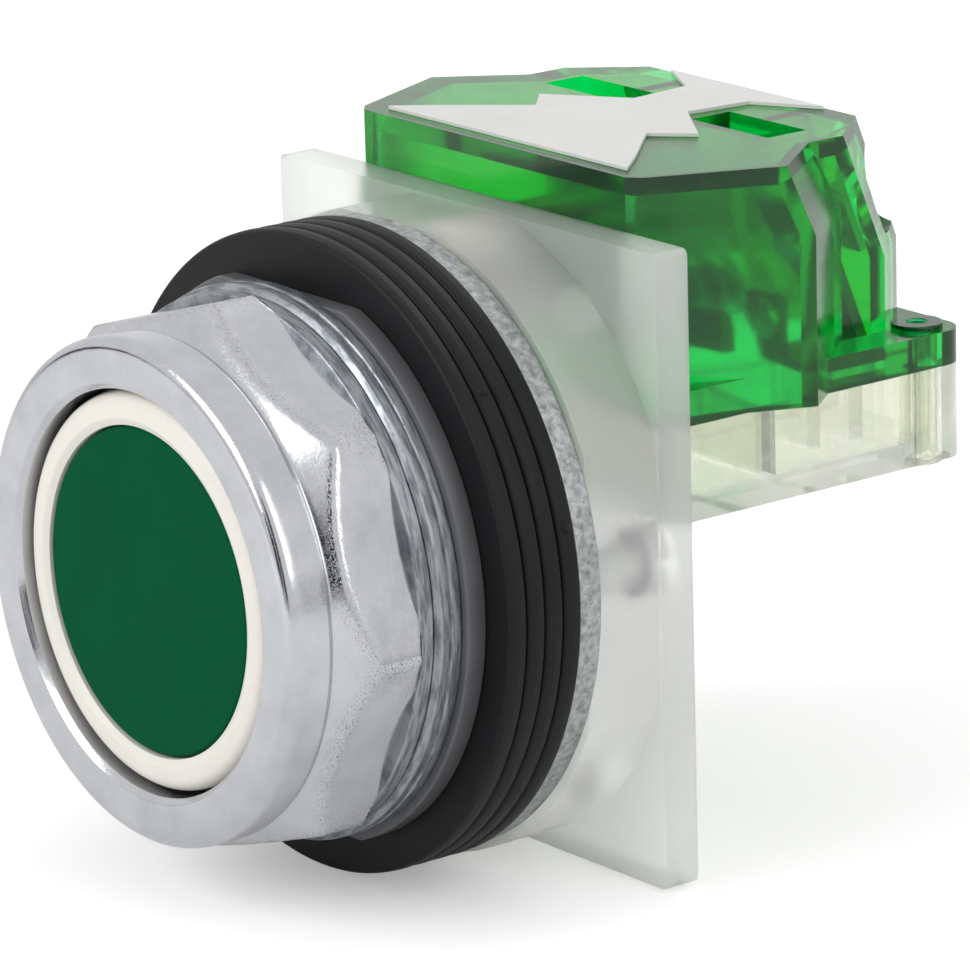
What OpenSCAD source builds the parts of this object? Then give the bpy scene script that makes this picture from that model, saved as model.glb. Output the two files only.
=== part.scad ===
// Panel push button of the 30 mm heavy-duty kind: a flush button in a chrome guard nut,
// a clamping stack of washers and gaskets, a frosted body and one contact block behind it.
// The axis of the button is Y, the button faces -Y and the label of the block faces +Z.
// The origin is on the axis, in the face of the first gasket, where the panel is clamped.

/* [Button] */
// Diameter of the coloured insert
insert_d = 22.2; // [18:0.1:23]
// Thickness of the coloured insert
insert_t = 1.2; // [0.8:0.1:1.4]
// Depth of the insert's face below the rim of the cap
insert_recess = 0.35; // [0.1:0.05:0.6]
// Diameter of the cap's rim
cap_d = 26.9; // [24:0.1:27]
// Thickness of the cap's rim along the axis
cap_lip_t = 1.6; // [1.2:0.1:2]
// Depth of the cap's rim below the front of the nut
cap_recess = 0.6; // [0.2:0.1:1]
// Length of the cap's skirt behind its rim
skirt_len = 13.6; // [10:0.1:14]
// Wall of the skirt
skirt_wall = 1.3; // [1:0.1:2]
// Travel of the button
travel = 5; // [3:0.1:5.5]
// Diameter of the stem
stem_d = 9; // [7:0.1:10]
// Running clearance of what slides, on the radius
run_gap = 0.06; // [0.03:0.01:0.1]

/* [Ring nut] */
// Length of the nut
nut_len = 9.3; // [8.5:0.1:12]
// Width of the eight-sided part across its flats
nut_flats = 35.6; // [34.8:0.1:38]
// Turn of the eight-sided part about the axis
nut_turn = 6; // [0:1:45]
// Diameter of the round rim
rim_d = 34.4; // [32:0.1:35]
// Length of the round rim
rim_len = 3.9; // [3:0.1:4.5]
// Length of the full corners at the rear of the nut
corner_len = 3.4; // [2.5:0.1:4]
// Rounding of the rim's front edge
rim_round = 0.9; // [0.3:0.1:1.4]
// Gap between the cap's rim and the nut, on the radius
rim_gap = 0.28; // [0.2:0.02:0.4]
// Thickness of the nut's front wall
nut_front_t = 2.6; // [2:0.1:3]

/* [Bushing] */
// Outer diameter of the thread
bushing_d = 29.6; // [28.5:0.1:30]
// Depth of the thread
thread_depth = 0.4; // [0.2:0.05:0.5]
// Pitch of the thread
thread_pitch = 1.5; // [1:0.25:2]
// Clearance round the bushing for the nut and the washers, on the radius
bushing_gap = 0.05; // [0.03:0.01:0.1]
// Diameter of the bushing's bore
bore_d = 25.2; // [23:0.1:25.4]
// Thickness of the flange and of the floor behind the bore
flange_t = 2; // [1.6:0.1:2.4]
// Diameter of the flange
flange_d = 36.4; // [34:0.1:37]
// Gap between the bushing's front and the nut's front wall
bushing_front_gap = 0.5; // [0.3:0.1:1]

/* [Clamping stack] */
// Thickness of the flat-sided trim ring
trim_t = 1.5; // [1:0.1:2]
// Diameter of the trim ring
trim_d = 38.9; // [38:0.1:42]
// Width of the trim ring across its two flats
trim_flats = 36.4; // [34:0.1:38]
// Thickness of the thrust washer
thrust_t = 2; // [1.5:0.1:2.5]
// Diameter of the thrust washer
thrust_d = 37.8; // [35:0.1:38]
// Thickness of the lock washer
lock_t = 1.2; // [0.8:0.1:1.6]
// Diameter of the lock washer
lock_d = 37; // [35:0.1:38]
// Number of gaskets
gasket_n = 4; // [4:1:4]
// Thickness of one gasket
gasket_t = 1.5; // [1:0.1:2]
// Diameter of the gaskets
gasket_d = 44; // [42:0.1:46]
// Diameter of the small moulded nubs on two gaskets
nub_d = 0.9; // [0.5:0.1:1.2]
// Clearance between the loose rings and the thread, on the radius
ring_gap = 0.35; // [0.2:0.05:0.6]
// Thickness of the galvanised clamping ring
clamp_t = 1.8; // [1.2:0.1:2.4]
// Diameter of the galvanised clamping ring
clamp_d = 43.4; // [42:0.1:44]

/* [Body] */
// Width of the square plate
plate_w = 41; // [40:0.1:46]
// Height of the square plate
plate_h = 43.6; // [42:0.1:48]
// Thickness of the plate
plate_t = 2.7; // [2.2:0.1:4]
// Rounding of the plate's corners
plate_r = 0.5; // [0.5:0.1:3]
// Diameter of the collar
collar_d = 44.4; // [43:0.1:46]
// Length of the collar in front of the plate
collar_len = 6; // [5.5:0.1:8]
// How far the collar's four flats stay inside the plate's edges
collar_inset = 0.3; // [0.1:0.05:1]
// Width of the pusher's slot in the body
slot_w = 12; // [10.5:0.1:14]
// Height of the pusher's slot in the body
slot_h = 30; // [29.8:0.1:30.4]
// Clearance of the pusher in its slot
slot_gap = 0.5; // [0.3:0.1:1]
// Thickness of the pusher at the stem's end
pusher_t = 1.3; // [1:0.1:1.5]
// Distance of the block's fixing screws from the axis
station_z = 17.9; // [17.8:0.1:18.4]
// Outer diameter of the threaded inserts
body_insert_d = 4.6; // [4.2:0.1:5]
// Length of the threaded inserts
body_insert_len = 5.5; // [4:0.1:5.8]
// Distance of the bushing's screws from the axis
bushing_screw_x = 16; // [15.8:0.1:16.2]

/* [Screws] */
// Thread diameter of the block's fixing screw
fix_screw_d = 3.3; // [3:0.1:3.5]
// Thread diameter of the terminal and bushing screws
small_screw_d = 2.6; // [2.2:0.1:2.8]
// Head diameter of the small screws
small_head_d = 4.4; // [4:0.1:4.6]
// Head height of all screws
head_h = 1.7; // [1.4:0.1:1.8]

/* [Contact block] */
// Height of the underside of the clear cover above the axis
block_z0 = 2.3; // [2:0.1:4]
// Height of the split between the cover and the housing
split_z = 8.9; // [8.5:0.1:9.2]
// Height of the housing's top
block_z1 = 25.5; // [25:0.1:28]
// Length of the block behind the plate
block_len = 26.8; // [26.5:0.1:29]
// Half width of the block's flange and of the cover
flange_x = 18; // [17.5:0.1:19.5]
// Thickness of the block's flange
block_flange_t = 2.4; // [2:0.1:2.6]
// Half width of the housing's front edge
front_x = 14.2; // [13.8:0.1:15]
// Half width of the housing at its widest
wing_x = 20; // [19.5:0.1:21]
// Half width of the housing's rear part
rear_x = 15; // [14.8:0.1:15.6]
// Half width of the housing's rear face
tail_x = 11; // [10.6:0.1:12]
// Wall of the housing and of the cover
block_wall = 1.5; // [1.2:0.1:1.7]
// Thickness of the blank label
label_t = 0.3; // [0.2:0.05:0.5]
// Height of the plunger's axis above the button's axis
plunger_z = 12.5; // [12.3:0.1:12.6]
// Diameter of the plunger's pin
plunger_d = 4.4; // [4:0.1:4.6]
// Travel of the contact bridge
bridge_travel = 3; // [2:0.1:3.2]
// Distance of the contact tips from the middle
tip_x = 9.1; // [8.8:0.1:9.4]
// Diameter of the contact tips
tip_d = 2.8; // [2.4:0.1:3]
// Thickness of the contact tips
tip_t = 0.6; // [0.4:0.1:0.7]
// Thickness of the copper strips
strip_t = 0.8; // [0.6:0.1:1]
// Distance of the terminals from the middle
terminal_x = 11; // [10.8:0.1:11.2]
// Diameter of the bore that lets a screwdriver reach a terminal
driver_d = 4.8; // [4.7:0.05:4.9]
// Diameter of the wider mouth of that bore
driver_mouth_d = 6.2; // [5:0.1:6.4]
// Depth of the mouth below the slanted rear face
driver_mouth_depth = 2.4; // [1:0.1:2.6]

/* [Hidden] */
$fn = 96;
eps = 0.02;
seat = 0.02;
cutter = 100;

// Places along the axis, from the panel plane forwards
trim_y = -trim_t;
thrust_y = trim_y - thrust_t;
lock_y = thrust_y - lock_t;
nut_y = lock_y - nut_len;
cap_y = nut_y + cap_recess;
lip_y = cap_y + cap_lip_t;
skirt_y = lip_y + skirt_len;
nut_wall_y = nut_y + nut_front_t;
bushing_y = nut_wall_y + bushing_front_gap;

// Places along the axis, from the panel plane backwards
clamp_y = gasket_n * gasket_t;
collar_y = clamp_y + clamp_t;
floor_y = collar_y + flange_t;
plate_y = collar_y + collar_len;
block_y = plate_y + plate_t;
rear_y = block_y + block_len;
pusher_y = floor_y + 0.3;
pusher_back = pusher_y + pusher_t;

// Radii
bushing_r = bushing_d / 2;
bore_r = bore_d / 2;
skirt_r = bore_r - run_gap;
cap_r = cap_d / 2;
lip_bore_r = max(cap_r, skirt_r) + rim_gap;
lip_bore_y = lip_y + travel + 0.4;
corner_r = nut_flats / 2 / cos(180 / 8);
ring_r = bushing_r + ring_gap;
stem_r = stem_d / 2;
hub_r = 4.2;
hub_len = 6;
insert_y = cap_y + insert_recess;
insert_back = insert_y + insert_t;
cap_floor_y = insert_back + 1.6;
stem_screw_r = 1.5;
stem_head_r = 2.7;
stem_y = insert_back + head_h;
spring_wire = 0.9;
spring_gap = 1.79;
spring_r = skirt_r - skirt_wall - spring_gap - spring_wire / 2;
spring_y = cap_floor_y + spring_wire / 2;
seal_w = 1.6;
seal_y = lip_bore_y + 4;
seal_r = bore_r + 0.9;

// Heights of the block
flange_top = split_z + block_flange_t;
wing_slant_z = 20.6;
tail_slant_z = 16.5;
wing_slant = 2.8;
tail_slant = 3.6;
slant_angle = atan2(tail_slant, block_z1 - tail_slant_z);
// Places of the housing's plan: the wings from the plate, the rest from the rear face, because
// it stands round the terminals
wing_y = block_y + 8.7;
neck_y = rear_y - 11.6;
edge_y = rear_y - 8.5;
tail_y = rear_y - 0.3 - tail_slant;
inner_rear_y = rear_y - 0.3 - block_wall;

// Parts inside the block, from front to rear
slide_front = block_y + block_wall + 0.3;
slide_w = 5;
slide_h = 4.2;
slide_gap = 0.3;
window_front = slide_front + 3.2;
bridge_t = strip_t;
window_len = 6.1;
window_back = window_front + window_len;
bridge_y = window_back - 0.1 - bridge_t;
bridge_h = 2.6;
slide_back = window_back + 3;
tail_rod_r = 1.5;
tail_rod_len = 5.4;
moving_tip_y = bridge_y + bridge_t + tip_t;
fixed_tip_y = moving_tip_y + bridge_travel;
strip_y = fixed_tip_y + tip_t;
strip_z = split_z + 0.5;
strip_w = 4.8;
// The terminal's own axis leans back with the slanted rear face
terminal_z = 20.5;
terminal_y = rear_y - 0.3 - tail_slant * (terminal_z - tail_slant_z) / (block_z1 - tail_slant_z);
head_depth = 2.6;
saddle_t = 0.8;
saddle_w = 4;
wire_gap = 2;
plate_depth = head_depth + head_h + saddle_t + wire_gap;
leg_low = (terminal_z - plate_depth * sin(slant_angle) - strip_z - 0.2) / cos(slant_angle);

// Fixings of the block: locating pegs, fixing screw and rivets
peg_x = 10.5;
peg_z = 15.5;
peg_r = 1.5;
peg_len = 2;
fix_head_r = 2.3;
fix_tube_r = 3.1;
fix_head_y = rear_y - tail_slant - 2.6;
rivet_x = 15.6;
rivet_y = rear_y - 2.6;
rivet_r = 1.2;

// ---------- shared shapes ----------

// Turns +Z to +Y and moves the start to y
module along_y(y) {
    translate([0, y, 0])
        rotate([-90, 0, 0])
            children();
}

// Ring or disc from y0 to y1 about the button's axis
module ring_y(y0, y1, r, r_in = 0) {
    along_y(y0)
        difference() {
            cylinder(h = y1 - y0, r = r);
            if (r_in > 0)
                translate([0, 0, -1])
                    cylinder(h = y1 - y0 + 2, r = r_in);
        }
}

// Turned shape about the button's axis, from points [radius, y]
module turned_y(points) {
    along_y(0)
        rotate_extrude()
            polygon(points);
}

// Points of a quarter round about a centre, from angle a0 to a1
function arc_points(centre, r, a0, a1, n = 6) =
    [for (i = [0:n]) let (a = a0 + (a1 - a0) * i / n) centre + r * [cos(a), sin(a)]];

// Helical spring along Y as one swept tube
module spring_y(y0, y1, r, wire, turns) {
    sides = 6;
    steps = 12;
    count = turns * steps;
    rise = (y1 - y0) / count;
    points = [for (i = [0:count])
                  for (k = [0:sides - 1])
                      let (a = 360 * i / steps, b = 360 * k / sides, q = r + wire / 2 * cos(b))
                      [q * cos(a), y0 + i * rise + wire / 2 * sin(b), q * sin(a)]];
    sides_faces = [for (i = [0:count - 1])
                       for (k = [0:sides - 1])
                           let (k2 = (k + 1) % sides, p = i * sides, q = p + sides)
                           for (face = [[p + k, p + k2, q + k2], [p + k, q + k2, q + k]])
                               face];
    start_face = [[for (k = [sides - 1:-1:0]) k]];
    end_face = [[for (k = [0:sides - 1]) count * sides + k]];
    polyhedron(points, concat(sides_faces, start_face, end_face), convexity = 10);
}

// Slotted screw along +Y: its head starts at y0 and its shank runs to -Y
module screw_y(y0, head_r, shank_r, length) {
    along_y(y0)
        difference() {
            union() {
                cylinder(h = head_h, r = head_r);
                translate([0, 0, -length])
                    cylinder(h = length + 0.1, r = shank_r);
            }
            translate([-head_r, -0.4, head_h - 0.8])
                cube([2 * head_r, 0.8, 1]);
        }
}

// Turns +Z to the outward direction of a terminal, with its start in the slanted face
module terminal_axis(side) {
    translate([side * terminal_x, terminal_y, terminal_z])
        rotate([slant_angle - 90, 0, 0])
            children();
}

// ---------- button ----------

// Coloured disc with a snap boss that fills the front of the cap
module button_insert() {
    color([0.03, 0.31, 0.2])
        difference() {
            union() {
                turned_y([[0, insert_y], [insert_d / 2 - 0.3, insert_y],
                          [insert_d / 2, insert_y + 0.3], [insert_d / 2, insert_back], [0, insert_back]]);
                ring_y(insert_back - eps, insert_back + 1, 7, 6);
            }
        }
}

// Cup with a raised rim in front, a skirt that slides in the bushing and a hub for the stem
module button_cap() {
    rim_mid = (insert_d / 2 + 0.1 + cap_r) / 2;
    color([0.8, 0.79, 0.74])
        difference() {
            turned_y(concat([[0, cap_floor_y], [0, insert_back], [insert_d / 2 + 0.1, insert_back]],
                            [[insert_d / 2 + 0.1, cap_y + 0.35]],
                            arc_points([rim_mid - 0.3, cap_y + 0.45], 0.45, 230, 270, 3),
                            arc_points([cap_r - 0.7, cap_y + 0.7], 0.7, 270, 360, 5),
                            [[cap_r, lip_y], [skirt_r, lip_y], [skirt_r, skirt_y],
                             [skirt_r - skirt_wall, skirt_y], [skirt_r - skirt_wall, cap_floor_y],
                             [hub_r, cap_floor_y], [hub_r, cap_floor_y + hub_len],
                             [0, cap_floor_y + hub_len]]));
            ring_y(insert_back - 1, insert_back + 1 + 0.1, 7.1, 5.9);
            ring_y(insert_back - 1, stem_y + eps, stem_head_r + 0.1);
            ring_y(stem_y, cap_floor_y + hub_len + 1, stem_screw_r + seat);
        }
}

// Screw under the insert that holds the cap on the stem
module stem_screw() {
    color([0.7, 0.71, 0.72])
        mirror([0, 1, 0])
            screw_y(-stem_y, stem_head_r, stem_screw_r, hub_len + 6);
}

// Rod with a pusher bar that reaches both contact stations
module push_stem() {
    front = cap_floor_y + hub_len;
    screw_end = stem_y + hub_len + 6;
    color([0.16, 0.16, 0.17])
        difference() {
            union() {
                ring_y(front + seat, pusher_y + eps, stem_r - run_gap);
                translate([-slot_w / 2 + slot_gap, pusher_y, -slot_h / 2 + slot_gap])
                    cube([slot_w - 2 * slot_gap, pusher_t, slot_h - 2 * slot_gap]);
            }
            ring_y(front - 1, screw_end + 0.5, stem_screw_r + seat);
        }
}

// Spring that pushes the cap forwards from the bushing's floor
module return_spring() {
    color([0.62, 0.63, 0.65])
        spring_y(spring_y, collar_y - spring_wire / 2, spring_r, spring_wire, 7);
}

// Rubber ring in the bushing's groove that wipes the skirt
module wiper_seal() {
    color([0.1, 0.1, 0.11])
        ring_y(seal_y + seat, seal_y + seal_w - seat, seal_r - seat, skirt_r + 0.04);
}

// ---------- bushing and nut ----------

// Die-cast sleeve with a thread outside, a stepped bore, a floor and a flange
module bushing() {
    teeth = floor((clamp_y - 0.5 - bushing_y - 0.5) / thread_pitch);
    thread = [for (i = [0:teeth - 1])
                  for (p = [[-thread_depth, 0], [0, 0.5], [-thread_depth, 1]])
                      [bushing_r + p[0], bushing_y + 0.5 + (i + 0.92 * p[1]) * thread_pitch]];
    outline = concat([[stem_r, floor_y], [stem_r, collar_y], [bore_r, collar_y],
                      [bore_r, seal_y + seal_w], [seal_r, seal_y + seal_w], [seal_r, seal_y],
                      [bore_r, seal_y], [bore_r, lip_bore_y], [lip_bore_r, lip_bore_y],
                      [lip_bore_r, bushing_y], [bushing_r - thread_depth, bushing_y]],
                     thread,
                     [[bushing_r - thread_depth, clamp_y], [bushing_r - thread_depth, collar_y],
                      [flange_d / 2, collar_y], [flange_d / 2, floor_y]]);
    color([0.66, 0.66, 0.67])
        difference() {
            turned_y(outline);
            for (side = [-1, 1])
                translate([side * bushing_screw_x, 0, 0])
                    ring_y(collar_y - 1, floor_y + 1, small_screw_d / 2 + seat);
        }
}

// Chrome guard nut: round rim in front, eight-sided part behind, bored for the cap and the thread
module ring_nut() {
    rim_r = rim_d / 2;
    rim_back = nut_y + rim_len;
    full_y = lock_y - corner_len;
    color([0.8, 0.81, 0.83])
        difference() {
            intersection() {
                turned_y(concat([[0, lock_y], [0, nut_y]],
                                arc_points([rim_r - rim_round, nut_y + rim_round], rim_round, 270, 360, 6),
                                [[rim_r, rim_back], [rim_r + 0.35, rim_back + 0.2],
                                 [corner_r + 0.1, full_y], [corner_r + 0.1, lock_y - 0.4],
                                 [corner_r - 0.5, lock_y]]));
                union() {
                    ring_y(nut_y - 1, rim_back + 0.5, rim_r + 0.5);
                    along_y(rim_back)
                        rotate([0, 0, nut_turn])
                            cylinder(h = lock_y - rim_back, r = corner_r, $fn = 8);
                }
            }
            turned_y([[0, nut_y - 1], [lip_bore_r + 0.4, nut_y - 1], [lip_bore_r + 0.4, nut_y],
                      [lip_bore_r, nut_y + 0.4], [lip_bore_r, nut_wall_y + eps], [0, nut_wall_y + eps]]);
            ring_y(nut_wall_y, lock_y + 1, bushing_r + bushing_gap);
        }
}

// Thin zinc ring with one bent key
module lock_washer() {
    color([0.62, 0.63, 0.63])
        ring_y(lock_y, thrust_y, lock_d / 2, ring_r);
}

// Zinc ring with turned grooves in its rim
module thrust_washer() {
    r = thrust_d / 2;
    color([0.57, 0.58, 0.58])
        difference() {
            turned_y([[ring_r, trim_y], [ring_r, thrust_y], [r - 0.4, thrust_y], [r, thrust_y + 0.3],
                      [r, thrust_y + 0.6], [r - 0.25, thrust_y + 0.75], [r, thrust_y + 0.9],
                      [r, thrust_y + 1.2], [r - 0.25, thrust_y + 1.35], [r, thrust_y + 1.5], [r, trim_y]]);
        }
}

// ---------- clamping stack ----------

// Grey plastic ring with a flat top and a flat underside
module trim_ring() {
    color([0.5, 0.51, 0.53])
        intersection() {
            ring_y(trim_y, 0, trim_d / 2, ring_r);
            translate([-trim_d, trim_y - 1, -trim_flats / 2])
                cube([2 * trim_d, trim_t + 2, trim_flats]);
        }
}

// Rubber ring with a rounded edge; the index counts from the panel plane
module gasket(index, nub_angle = undef) {
    r = gasket_d / 2;
    y0 = index * gasket_t;
    edge = 0.35;
    color([0.12, 0.12, 0.13])
        union() {
            turned_y(concat([[ring_r, y0 + gasket_t], [ring_r, y0]],
                            arc_points([r - edge, y0 + edge], edge, 270, 360, 3),
                            arc_points([r - edge, y0 + gasket_t - edge], edge, 0, 90, 3)));
            if (nub_angle != undef)
                rotate([0, -nub_angle, 0])
                    translate([r - 0.3, y0 + gasket_t / 2, 0])
                        rotate([0, 90, 0])
                            cylinder(h = 0.55, r = nub_d / 2, $fn = 24);
        }
}

module gasket_1() gasket(0);
module gasket_2() gasket(1, 40);
module gasket_3() gasket(2);
module gasket_4() gasket(3, 14);

// Galvanised ring that spreads the load of the gaskets over the body
module clamp_ring() {
    color([0.6, 0.62, 0.61])
        ring_y(clamp_y, collar_y, clamp_d / 2, ring_r);
}

// ---------- body ----------

// Frosted body: a collar with four flats in front of a square plate
module body() {
    hole_r = body_insert_d / 2 + seat;
    color([0.87, 0.89, 0.86, 0.8])
        difference() {
            union() {
                intersection() {
                    ring_y(collar_y, plate_y + eps, collar_d / 2);
                    translate([-plate_w / 2 + collar_inset, collar_y - 1, -plate_h / 2 + collar_inset])
                        cube([plate_w - 2 * collar_inset, collar_len + 2, plate_h - 2 * collar_inset]);
                }
                along_y(plate_y)
                    linear_extrude(height = plate_t)
                        rounded_rectangle(plate_w, plate_h, plate_r);
            }
            ring_y(collar_y - 1, floor_y, flange_d / 2 + seat);
            translate([-slot_w / 2, floor_y - 1, -slot_h / 2])
                cube([slot_w, block_y - floor_y + 2, slot_h]);
            for (side = [-1, 1]) {
                translate([0, 0, side * station_z])
                    ring_y(block_y - body_insert_len, block_y + 1, hole_r);
                translate([side * bushing_screw_x, 0, 0]) {
                    ring_y(floor_y - 1, block_y + 1, small_screw_d / 2 + 0.2);
                    ring_y(block_y - head_h - 0.3, block_y + 1, small_head_d / 2 + 0.2);
                }
                for (end = [-1, 1])
                    translate([side * peg_x, 0, end * peg_z])
                        ring_y(block_y - peg_len - 0.3, block_y + 1, peg_r + 0.1);
            }
        }
}

// Rectangle with round corners about the middle, made of exact pieces
module rounded_rectangle(w, h, r) {
    union() {
        square([w - 2 * r, h], center = true);
        square([w, h - 2 * r], center = true);
        for (sx = [-1, 1])
            for (sy = [-1, 1])
                translate([sx * (w / 2 - r), sy * (h / 2 - r)])
                    circle(r = r);
    }
}

// Two screws from the rear that hold the bushing's flange in the body
module bushing_screws() {
    color([0.7, 0.71, 0.72])
        for (side = [-1, 1])
            translate([side * bushing_screw_x, 0, 0])
                screw_y(block_y - head_h - 0.3, small_head_d / 2, small_screw_d / 2,
                        block_y - head_h - 0.3 - collar_y);
}

// Brass inserts for the block's screws, one for each contact station
module body_inserts() {
    color([0.78, 0.62, 0.3])
        for (side = [-1, 1])
            translate([0, 0, side * station_z])
                ring_y(block_y - body_insert_len + seat, block_y, body_insert_d / 2, fix_screw_d / 2);
}

// ---------- contact block ----------

// Plan of the housing's wide front part: slant is how far the rear corners have moved back,
// and w is how far the outline is moved inwards
module wing_plan(slant, w) {
    right = [[front_x - 0.6 * w, block_y + w], [front_x + 1 - 1.1 * w, block_y + 0.8 + 0.5 * w],
             [wing_x - 1.3 * w, wing_y + slant], [rear_x - w, neck_y + slant - 1.2 * w]];
    polygon(mirrored_outline(right));
}

// Plan of the housing's narrow rear part, with the same meaning of slant and w
module tail_plan(slant, w) {
    right = [[rear_x - w, neck_y - 4], [rear_x - w, edge_y + slant - 0.4 * w],
             [tail_x - 0.5 * w, tail_y + slant - w]];
    polygon(mirrored_outline(right));
}

// Closed outline from the points of its right half, taken from the front to the rear
function mirrored_outline(right) =
    concat(right, [for (i = [len(right) - 1:-1:0]) [-right[i][0], right[i][1]]]);

// Slab of a plan that stands at height z
module slab(z, t) {
    translate([0, 0, z])
        linear_extrude(height = t)
            children();
}

// Space beyond a slanted face, whose upper edge runs from p1 to p0 at the housing's top and which
// moves back by slant over a drop in height; w moves the face inwards
module beyond_face(p0, p1, slant, drop, w) {
    d = p0 - p1;
    tilt = atan2(d[0] * slant, drop * norm(d));
    translate([p0[0], p0[1], block_z1])
        rotate([0, -tilt, atan2(d[0], -d[1])])
            translate([-w, -cutter / 2, -cutter / 2])
                cube(cutter);
}

// Wide part, moved inwards by w and opened underneath where w is not 0
module wing_shape(w) {
    low = split_z - (w > 0 ? 1 : 0);
    difference() {
        slab(low, block_z1 - w - low)
            wing_plan(wing_slant, w);
        for (side = [0, 1])
            mirror([side, 0, 0])
                beyond_face([wing_x, wing_y], [rear_x, neck_y], wing_slant, block_z1 - wing_slant_z, w);
    }
}

// Narrow part, moved inwards by w and opened underneath where w is not 0
module tail_shape(w) {
    low = split_z - (w > 0 ? 1 : 0);
    drop = block_z1 - tail_slant_z;
    difference() {
        slab(low, block_z1 - w - low)
            tail_plan(tail_slant, w);
        beyond_face([tail_x, tail_y], [-tail_x, tail_y], tail_slant, drop, w);
        for (side = [0, 1])
            mirror([side, 0, 0])
                beyond_face([rear_x, edge_y], [tail_x, tail_y], tail_slant, drop, w);
    }
}

// Translucent green shell, open underneath, with the wire pockets and screwdriver bores
module block_housing() {
    inner_top = block_z1 - block_wall;
    rib_x = 6.6;
    rib_t = 1.2;
    color([0.03, 0.55, 0.2, 0.75])
        difference() {
            union() {
                difference() {
                    union() {
                        wing_shape(0);
                        tail_shape(0);
                        translate([0, (block_y + rear_y) / 2, split_z])
                            linear_extrude(height = block_flange_t)
                                rounded_rectangle(2 * flange_x, block_len, 2);
                    }
                    wing_shape(block_wall);
                    tail_shape(block_wall);
                }
                // Walls between the plunger's channel and the terminals
                for (side = [-1, 1])
                    translate([side * rib_x - rib_t / 2, strip_y + 1.6, flange_top])
                        cube([rib_t, inner_rear_y - strip_y - 4, inner_top - flange_top + 0.1]);
                // Tube for the fixing screw
                translate([0, 0, station_z])
                    ring_y(block_y, rear_y - tail_slant, fix_tube_r);
                // Pegs that keep the block from turning on the body
                for (side = [-1, 1])
                    translate([side * peg_x, 0, peg_z])
                        ring_y(block_y - peg_len, block_y + 0.5, peg_r);
            }
            // Fixing screw: shank hole and room for its head
            translate([0, 0, station_z]) {
                ring_y(block_y - 1, rear_y + 1, fix_screw_d / 2 + 0.2);
                ring_y(fix_head_y, rear_y + 1, fix_head_r + 0.15);
            }
            // Guide for the plunger's pin
            translate([0, 0, plunger_z])
                ring_y(block_y - 1, block_y + block_wall + 1, plunger_d / 2);
            for (side = [-1, 1]) {
                terminal_axis(side)
                    union() {
                        translate([0, 0, -9])
                            cylinder(h = 14, r = driver_d / 2);
                        translate([0, 0, -driver_mouth_depth])
                            cylinder(h = 8, r = driver_mouth_d / 2);
                    }
                // Wire pocket in the top
                translate([side * 8 - 4, neck_y - 1, inner_top - 1])
                    cube([8, 3.4, block_wall + 2]);
                // Rivet holes
                translate([side * rivet_x, rivet_y, split_z - 1])
                    cylinder(h = block_flange_t + 2, r = rivet_r + seat);
            }
        }
}

// Clear tray that closes the block from below and carries the contact strips
module block_cover() {
    floor_t = 1.5;
    deep = split_z - block_z0;
    color([0.9, 0.92, 0.9, 0.4])
        difference() {
            union() {
                difference() {
                    translate([0, (block_y + rear_y) / 2, block_z0])
                        linear_extrude(height = deep)
                            rounded_rectangle(2 * flange_x, block_len, 2);
                    translate([0, (block_y + rear_y) / 2, block_z0 + floor_t])
                        linear_extrude(height = deep)
                            rounded_rectangle(2 * flange_x - 2 * block_wall,
                                              block_len - 2 * block_wall, 1);
                }
                for (side = [-1, 1]) {
                    // Bearers under the contact strips
                    for (y = [strip_y + 0.4, strip_y + 4.2])
                        translate([side * terminal_x - strip_w / 2, y, block_z0 + 1])
                            cube([strip_w, 1.2, strip_z - block_z0 - 1]);
                    // Posts round the rivets
                    translate([side * rivet_x, rivet_y, block_z0])
                        cylinder(h = deep, r = rivet_r + 0.9);
                    // Cross ribs
                    translate([side * 5.5 - 0.6, block_y + 1, block_z0 + 1])
                        cube([1.2, block_len - 2, deep - 1.6]);
                }
                translate([-flange_x + 1, block_y + 9, block_z0 + 1])
                    cube([2 * flange_x - 2, 1.2, deep - 1.6]);
            }
            for (side = [-1, 1])
                translate([side * rivet_x, rivet_y, block_z0 - 1])
                    cylinder(h = deep + 2, r = rivet_r + seat);
            // Guide and channel for the plunger, where it runs below the split
            translate([0, 0, plunger_z])
                ring_y(block_y - 1, slide_front, plunger_d / 2);
            translate([-slide_w / 2 - slide_gap, slide_front - slide_gap,
                       plunger_z - slide_h / 2 - slide_gap])
                cube([slide_w + 2 * slide_gap, rear_y - slide_front, slide_h + 2 * slide_gap]);
        }
}

// Blank label on the housing's top, cut back round the wire pockets
module block_label() {
    front = block_y + 1.2;
    right = [[13, front], [10.7, front + 2.6], [6, front + 7.4], [8.6, front + 9.8],
             [2.9, neck_y - 0.4], [3.4, tail_y - 3], [8.2, tail_y - 0.4]];
    color([0.86, 0.86, 0.85])
        slab(block_z1, label_t)
            polygon(mirrored_outline(right));
}

// Screw that holds the block on the body
module block_screw() {
    color([0.7, 0.71, 0.72])
        translate([0, 0, station_z])
            screw_y(fix_head_y, fix_head_r, fix_screw_d / 2 - seat, fix_head_y - block_y + 4.5);
}

// Two tubular rivets through the flange and the cover
module cover_rivets() {
    head_t = 0.4;
    color([0.72, 0.72, 0.7])
        for (side = [-1, 1])
            translate([side * rivet_x, rivet_y, 0])
                difference() {
                    union() {
                        translate([0, 0, block_z0 - head_t])
                            cylinder(h = flange_top - block_z0 + 2 * head_t, r = rivet_r);
                        for (z = [block_z0 - head_t, flange_top])
                            translate([0, 0, z])
                                cylinder(h = head_t, r = rivet_r + 0.6);
                    }
                    translate([0, 0, block_z0 - 1])
                        cylinder(h = flange_top - block_z0 + 2, r = rivet_r - 0.5);
                }
}

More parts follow.
